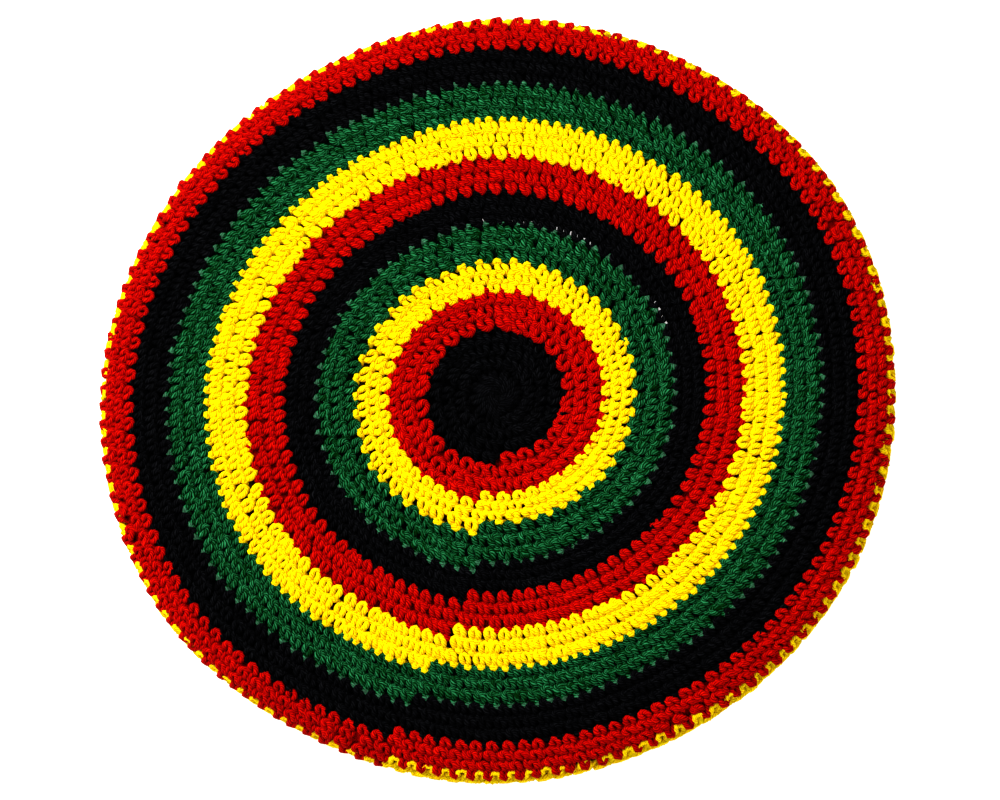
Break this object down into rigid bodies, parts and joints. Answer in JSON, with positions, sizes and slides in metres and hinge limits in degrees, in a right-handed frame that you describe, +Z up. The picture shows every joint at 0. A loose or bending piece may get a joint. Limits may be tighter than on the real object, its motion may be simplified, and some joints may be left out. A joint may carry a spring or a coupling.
{
  "type": "rasta tam",
  "caption": "Crocheted round flat cap with black, red, yellow and green rings on its crown and underside and a snug head band, lying open side down.",
  "frame": {"origin": "on the floor under the middle of the hat's outline, with the hat lying on the foot of its head band", "axes": "+Z up through the middle of the crown, +X to the wearer's side along the wider way of the lying disc, +Y away from the viewer; the step where the colours start faces -Y"},
  "size_m": [0.3002, 0.2898, 0.036],
  "materials": {
    "black_yarn": "crocheted acrylic yarn, matt with a soft nap",
    "red_yarn": "crocheted acrylic yarn, matt with a soft nap",
    "yellow_yarn": "crocheted acrylic yarn, matt with a soft nap",
    "green_yarn": "crocheted acrylic yarn, matt with a soft nap"
  },
  "bodies": {
    "root": {"crown_centre_black": "black_yarn", "crown_red_1": "red_yarn", "crown_yellow_1": "yellow_yarn", "crown_green_1": "green_yarn", "crown_black_1": "black_yarn", "crown_red_2": "red_yarn", "crown_yellow_2": "yellow_yarn", "crown_green_2": "green_yarn", "crown_black_2": "black_yarn", "crown_red_3": "red_yarn", "under_yellow_1": "yellow_yarn", "under_green": "green_yarn", "under_black": "black_yarn", "under_red": "red_yarn", "under_yellow_2": "yellow_yarn", "band_green": "green_yarn", "band_black": "black_yarn"}
  },
  "joints": []
}
